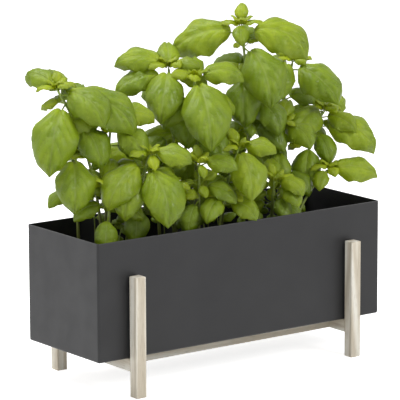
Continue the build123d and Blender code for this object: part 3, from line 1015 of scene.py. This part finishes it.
def leaf_veins(tree):
    """How near a point of the blade is to the midrib, and to a side vein: one on it, nought beside it."""
    chart = put(tree, "ShaderNodeUVMap", uv_map="blade_map").outputs["UV"]
    split = put(tree, "ShaderNodeSeparateXYZ", [("Vector", chart)])
    along, side = split.outputs["X"], split.outputs["Y"]
    from_rib = maths(tree, "ABSOLUTE", maths(tree, "SUBTRACT", maths(tree, "MULTIPLY", side, 2.0), 1.0))
    swept = maths(tree, "MULTIPLY", maths(tree, "POWER", from_rib, vein_curve), vein_sweep)
    phase = maths(tree, "MULTIPLY", maths(tree, "SUBTRACT", along, swept), vein_pairs)
    far_half = maths(tree, "MULTIPLY", maths(tree, "GREATER_THAN", side, 0.5), vein_offset)
    to_vein = maths(tree, "PINGPONG", maths(tree, "ADD", phase, far_half), 0.5)
    fading = spread(tree, from_rib, 0.4, 1.0, 0.7, 0.05)
    side_veins = maths(tree, "MULTIPLY", spread(tree, to_vein, 0.0, 0.12, 1.0, 0.0), fading)
    return spread(tree, from_rib, 0.015, 0.075, 1.0, 0.0), side_veins


def leaf_skin():
    """Satin green with pale veins in grooves, which lets some light through."""
    finish, tree, shader = new_finish("leaf_skin")
    tone = put(tree, "ShaderNodeVertexColor", layer_name="tone")
    rib, side_veins = leaf_veins(tree)
    spot = place_in_metres(tree)
    cell_inputs = [("Vector", spot), ("Scale", 330.0)]
    cells = put(tree, "ShaderNodeTexVoronoi", cell_inputs, feature="DISTANCE_TO_EDGE")
    lines = spread(tree, cells.outputs["Distance"], 0.0, 0.12, 1.0, 0.0)
    net = maths(tree, "MULTIPLY", lines, tone.outputs["Alpha"])
    cloud = noise(tree, spot, 45.0, detail=4.0, roughness=0.6)
    # Random mottle: partly the leaf's own uneven tone, and partly a painted sheen in its paler, greyer
    # patches.
    shade = ramp(tree, cloud, [(0.32, (0.82, 0.86, 0.76)), (0.68, (1.18, 1.12, 1.2))])
    mottle_and_sheen = blend(tree, 1.0, tone.outputs["Color"], shade, "MULTIPLY")
    pale_net = maths(tree, "MULTIPLY", net, net_share)
    pale = maths(tree, "ADD", maths(tree, "MULTIPLY", side_veins, side_vein_share), pale_net)
    pale = maths(tree, "MAXIMUM", pale, maths(tree, "MULTIPLY", rib, rib_pale_share))
    pale = maths(tree, "MULTIPLY", pale, tone.outputs["Alpha"])
    colour = blend(tree, pale, mottle_and_sheen, vein_pale)
    tree.links.new(colour, shader.inputs["Base Color"])
    tree.links.new(spread(tree, cloud, 0.3, 0.7, 0.24, 0.46), shader.inputs["Roughness"])
    shader.inputs["Specular IOR Level"].default_value = 0.42
    veins = maths(tree, "MAXIMUM", rib, side_veins)
    relief = maths(tree, "ADD", maths(tree, "MULTIPLY", veins, -1.0), maths(tree, "MULTIPLY", net, -0.25))
    emboss(tree, shader, maths(tree, "MULTIPLY", relief, tone.outputs["Alpha"]), 0.0009, 0.6)
    through = blend(tree, 1.0, colour, light_through, "MULTIPLY")
    glow = put(tree, "ShaderNodeBsdfTranslucent", [("Color", through)])
    parts = [(0, through_share), (1, shader.outputs[0]), (2, glow.outputs[0])]
    both = put(tree, "ShaderNodeMixShader", parts)
    tree.links.new(both.outputs[0], tree.nodes["Material Output"].inputs["Surface"])
    return finish


leaf_finish = leaf_skin()
print("leaf finish ready")

# %% [markdown]
# ## Leaves
# Each leaf is a thin sheet of its own: an egg-shaped outline with a drawn-out tip, halves that arch up from
# the groove of the midrib, pads that swell between the side veins, and an edge that waves a little. A stalk
# runs from the stem into the midrib, which stands out under the blade. Young leaves at the tips are small
# and yellow-green, old ones darker. Curves with a bevel cannot make the pads, so the points are worked out.

# %% Outline and tone of a leaf
young_tone = np.array((0.35, 0.44, 0.012))
grown_tone = np.array((0.192, 0.286, 0.008))
old_tone = np.array((0.136, 0.212, 0.006))
fresh_share = 0.8
fresh_length = 25.0


def blade_width(share):
    """Half width of a basil leaf, as a share of its widest."""
    body = np.maximum(np.sin(np.pi * share**0.84), 0) ** 0.66
    return body * (1 - 0.5 * np.clip((share - 0.84) / 0.16, 0, 1) ** 1.5)


def leaf_tone(leaf, luck):
    """Colour of a whole leaf: bright when young and darker lower down the shoot; seedling leaves get painted
    shade.
    """
    if leaf["blade"] <= young_length:
        # Leaves of thin seedlings, low in the clump, are toned darker: painted shade.
        low = 1 - leaf["shoot"]["thickness"]
        age_and_shade = min(1.4, 0.006 * leaf["drop"] + 1.6 * low + luck.uniform(0.0, 0.25))
    else:
        age_and_shade = min(1.7, 0.6 + 0.008 * leaf["drop"] + luck.uniform(-0.2, 0.25))
    if age_and_shade < 1:
        return young_tone * (1 - age_and_shade) + grown_tone * age_and_shade
    return grown_tone * (2 - age_and_shade) + old_tone * (age_and_shade - 1)


print("widest at", round(float(np.argmax(blade_width(np.linspace(0, 1, 101)))) / 100, 2), "of the length")

# %% Blade of a leaf
blade_thickness = 0.35
groove_share = 0.016
pad_share = 0.046
wave_share = 0.045
rolled_share = 0.05
sway_share = 0.05
twist_share = 0.3
tip_curl = (-0.05, 0.1)
tooth_share = 0.025
tooth_count = 9
under_pale = (1.15, 1.1, 1.5, 1)


def blade_height(share, across, full, wave_start):
    """Height of the blade over its flat outline, as a share of its length, and the pads between the veins."""
    out = np.abs(across)
    phase = vein_pairs * (share - vein_sweep * out**vein_curve) + vein_offset * (across > 0)
    pads = np.abs(np.sin(np.pi * phase)) ** 0.7 * np.minimum(1, 5 * out) * (1 - out**3)
    wave = np.sin(2 * np.pi * (2.2 * share + wave_start) + 2.5 * across)
    dome = leaf_crown_share * (1 - out**1.9) + pad_share * pads
    dome = dome + (wave_share * wave - rolled_share) * out**3
    return full * (dome - groove_share * np.exp(-((out / 0.1) ** 2))), pads


def blade_piece(leaf, tone, luck):
    """The blade: an upper and a lower sheet with a thin edge between them."""
    blade = leaf["blade"]
    rows = int(np.clip(blade * 0.42, 10, 36))
    columns = 2 * int(np.clip(blade * 0.09, 3, 8)) + 1
    share = np.linspace(0, 1, rows)[:, None]
    across = np.linspace(-1, 1, columns)[None, :]
    out = np.abs(across)
    width = np.maximum(blade_width(share), 0.02)
    full = np.minimum(1, 1.7 * width)
    height, pads = blade_height(share, across, full, luck.uniform())
    height = blade * height
    teeth = 1 + tooth_share * np.abs(np.sin(np.pi * tooth_count * share)) * (out > 0.95)
    frames = [midrib(leaf, step) for step in share[:, 0]]
    point, side, normal = (np.array(part)[:, None, :] for part in zip(*frames))
    half = leaf_half_share * blade * width * across * teeth
    sway = blade * luck.uniform(-sway_share, sway_share) * np.sin(np.pi * share)
    height = height + half * luck.uniform(-twist_share, twist_share) * share
    height = height - blade * luck.uniform(*tip_curl) * np.maximum(0, share - 0.5) ** 2 * 4
    upper = (point + side * (half + sway)[..., None] + normal * height[..., None]).reshape(-1, 3)
    lower = (upper.reshape(rows, columns, 3) - normal * blade_thickness).reshape(-1, 3)
    chart = np.stack(np.broadcast_arrays(share, (across + 1) / 2), axis=-1).reshape(-1, 2)
    # Lighter at the base and darker towards the tip and the edges; the puffed pads between the veins are
    # lighter as a painted highlight.
    light = 1.12 - 0.12 * share - 0.1 * out**2 + 0.06 * pads
    fresh = fresh_share * math.exp(-leaf["drop"] / fresh_length) * np.maximum(0, 1 - 3 * share)[..., None]
    colours = light[..., None] * (tone * (1 - fresh) + young_tone * fresh)
    face_tone = np.concatenate([colours.reshape(-1, 3), np.ones((rows * columns, 1))], axis=1)
    under_tone = face_tone * under_pale
    count = rows * columns
    faces = grid_faces(rows, columns, flip=True)
    faces += [tuple(corner + count for corner in face[::-1]) for face in faces]
    smooth = len(faces)
    ring = [row * columns for row in range(rows)]
    ring += [(rows - 1) * columns + column for column in range(1, columns)]
    ring += [row * columns + columns - 1 for row in range(rows - 2, -1, -1)]
    ring += list(range(columns - 2, 0, -1))
    faces += [(a, a + count, b + count, b) for a, b in zip(ring, ring[1:] + ring[:1])]
    return {
        "points": np.concatenate([upper, lower]),
        "faces": faces,
        "map": np.concatenate([chart, chart]),
        "tone": np.concatenate([face_tone, under_tone]),
        "flat_from": smooth,
    }


print("blade rules ready")

# %% Stalk and midrib of a leaf
rib_share = 0.85
stalk_sides = 7
stalk_pale = np.array((0.15, 0.2, 0.03))


def stalk_piece(leaf, tone):
    """The stalk and the midrib that it runs into, as one tapering tube."""
    blade = leaf["blade"]
    angles = np.linspace(0, 2 * np.pi, stalk_sides, endpoint=False)
    first, side, normal = midrib(leaf, 0.0)
    thick = min(stalk_half, 0.5 + 0.01 * blade)
    rings = []
    for share in (0.0, 0.35, 0.7, 1.0):
        rings.append((leaf["start"] * (1 - share) + first * share, side, normal, thick * (1 - 0.2 * share)))
    for share in np.linspace(0.08, rib_share, 9):
        point, side, normal = midrib(leaf, share)
        full = min(1, 1.7 * blade_width(share))
        sunk = blade * full * (leaf_crown_share - groove_share) - blade_thickness
        rings.append((point + normal * sunk, side, normal, thick * (0.75 - 0.65 * share)))
    points = [
        place + radius * (np.cos(angles)[:, None] * side + np.sin(angles)[:, None] * normal)
        for place, side, normal, radius in rings
    ]
    count = len(rings) * stalk_sides
    pale = np.append(tone * 0.6 + stalk_pale, 0.0)
    return {
        "points": np.concatenate(points),
        "faces": grid_faces(len(rings), stalk_sides, closed=True),
        "map": np.zeros((count, 2)),
        "tone": even(count, pale),
    }


def leaf_pieces(leaf, luck):
    """Blade and stalk in the leaf's own tone."""
    tone = leaf_tone(leaf, luck)
    return [blade_piece(leaf, tone, luck), stalk_piece(leaf, tone)]


print("stalk rules ready")

# %% [markdown]
# At the very tip of each shoot the next leaves are still folded together. This bud is too small for a solid
# of its own, so it is added here: four pairs of small leaves, each pair square to the last and steeper. A
# bud leaf that would reach over the next plant is left off, so that each pot still lifts out freely.

# %% Buds at the tips
# Each pair: length of the leaves in millimetres, and their pitch in degrees
bud_pairs = [(28, 24), (21, 52), (17, 66), (12, 78)]
bud_stalk = 1.0
bud_bend = math.radians(46)


def bud_leaves(number, shoot):
    """Small leaves that stand up round the tip, and reach over no other plant."""
    first_turn = shoot["turn"] + 90
    made = []
    for step, (blade, pitch) in enumerate(bud_pairs):
        for opposite in (0, 180):
            leaf = make_leaf(shoot, 0.0, first_turn + 90 * step + opposite, blade)
            leaf.update(stalk=bud_stalk, pitch=math.radians(pitch), bend=bud_bend, roll=0.0)
            if in_bounds(number, leaf_points(leaf)[0]):
                made.append(leaf)
    return made


print("bud pairs:", len(bud_pairs))

# %% Every leaf on its plant
def leafy_object(name, place, leaves, luck):
    """One object of many leaves, which rides on its plant's pot."""
    pieces = []
    for leaf in leaves:
        pieces += leaf_pieces(leaf, luck)
    made = make_object(name, pieces, leaf_finish, "pot_" + place, "basil_leaves_" + place)
    return sum(len(face.vertices) - 2 for face in made.data.polygons)


triangles = bud_count = 0
for number, (place, _) in enumerate(plants):
    luck = np.random.default_rng(100 + number)
    for count, shoot in enumerate(grown_plants[number][0]):
        bud = bud_leaves(number, shoot)
        bud_count += len(bud)
        leaves = shoot["leaves"] + bud
        triangles += leafy_object(f"leaves_{place}_{count + 1}", place, leaves, luck)
    young = [leaf for shoot in seedling_plants[number] for leaf in shoot["leaves"]]
    triangles += leafy_object(f"leaves_{place}_young", place, young, luck)
print("bud leaves:", bud_count, "leaf triangles:", triangles)

# %% [markdown]
# ## Floor, light and background
# The photograph is a cut-out on white, lit by large soft lamps. A pale floor takes the object's soft shadow.
# Rays from the camera, from glossy surfaces and through clear ones see the floor and the world as white, and
# every other ray sees a plain, weaker light, so the background does not add light to the object.

# %% Floor
def seen_rays(tree):
    """One for rays that show the background, and nought for those that light the object."""
    path = put(tree, "ShaderNodeLightPath")
    seen = maths(tree, "MAXIMUM", path.outputs["Is Camera Ray"], path.outputs["Is Glossy Ray"])
    return maths(tree, "MAXIMUM", seen, path.outputs["Is Transmission Ray"])


floor_side = 16.0
floor_lift = 0.75
floor_mesh = bpy.data.meshes.new("floor")
half_floor = floor_side / 2
corners = [(x * half_floor, y * half_floor, 0) for x, y in ((-1, -1), (1, -1), (1, 1), (-1, 1))]
floor_mesh.from_pydata(corners, [], [(0, 1, 2, 3)])
floor = bpy.data.objects.new("floor", floor_mesh)
bpy.context.collection.objects.link(floor)

paper, tree, shader = new_finish("white_paper")
shader.inputs["Base Color"].default_value = (0.9, 0.9, 0.9, 1.0)
shader.inputs["Roughness"].default_value = 0.9
shader.inputs["Specular IOR Level"].default_value = 0.1
lift = put(tree, "ShaderNodeEmission", [("Strength", maths(tree, "MULTIPLY", seen_rays(tree), floor_lift))])
both = put(tree, "ShaderNodeAddShader", [(0, shader.outputs[0]), (1, lift.outputs[0])])
tree.links.new(both.outputs[0], tree.nodes["Material Output"].inputs["Surface"])
floor_mesh.materials.append(paper)
print("floor", floor_side, "m wide")

# %% World
white_light = (1.0, 1.0, 1.0, 1.0)
ambient_strength = 0.4
world = bpy.data.worlds.new("studio")
bpy.context.scene.world = world
world.use_nodes = True
tree = world.node_tree
tree.nodes.clear()
ambient = put(tree, "ShaderNodeBackground", [("Color", white_light), ("Strength", ambient_strength)])
white = put(tree, "ShaderNodeBackground", [("Color", white_light), ("Strength", 1.0)])
backgrounds = [(0, seen_rays(tree)), (1, ambient.outputs[0]), (2, white.outputs[0])]
shown = put(tree, "ShaderNodeMixShader", backgrounds)
put(tree, "ShaderNodeOutputWorld", [("Surface", shown.outputs[0])])
print("world ready")

# %% Lamps
lamp_aim = Vector((0, 0, 0.2))


def soft_lamp(name, place, side, power):
    """A square area lamp that faces the plants."""
    lamp = bpy.data.lights.new(name, "AREA")
    lamp.shape = "SQUARE"
    lamp.size = side
    lamp.energy = power
    made = bpy.data.objects.new(name, lamp)
    made.location = place
    made.rotation_euler = (lamp_aim - made.location).to_track_quat("-Z", "Y").to_euler()
    bpy.context.collection.objects.link(made)


soft_lamp("key", Vector((0.7, -2.3, 1.9)), 1.2, 46)
soft_lamp("fill", Vector((-2.4, -0.5, 1.2)), 1.6, 9)
soft_lamp("top", Vector((-0.7, 0.7, 2.3)), 1.5, 50)
bpy.context.scene.view_settings.view_transform = "Standard"
print("lamps ready")
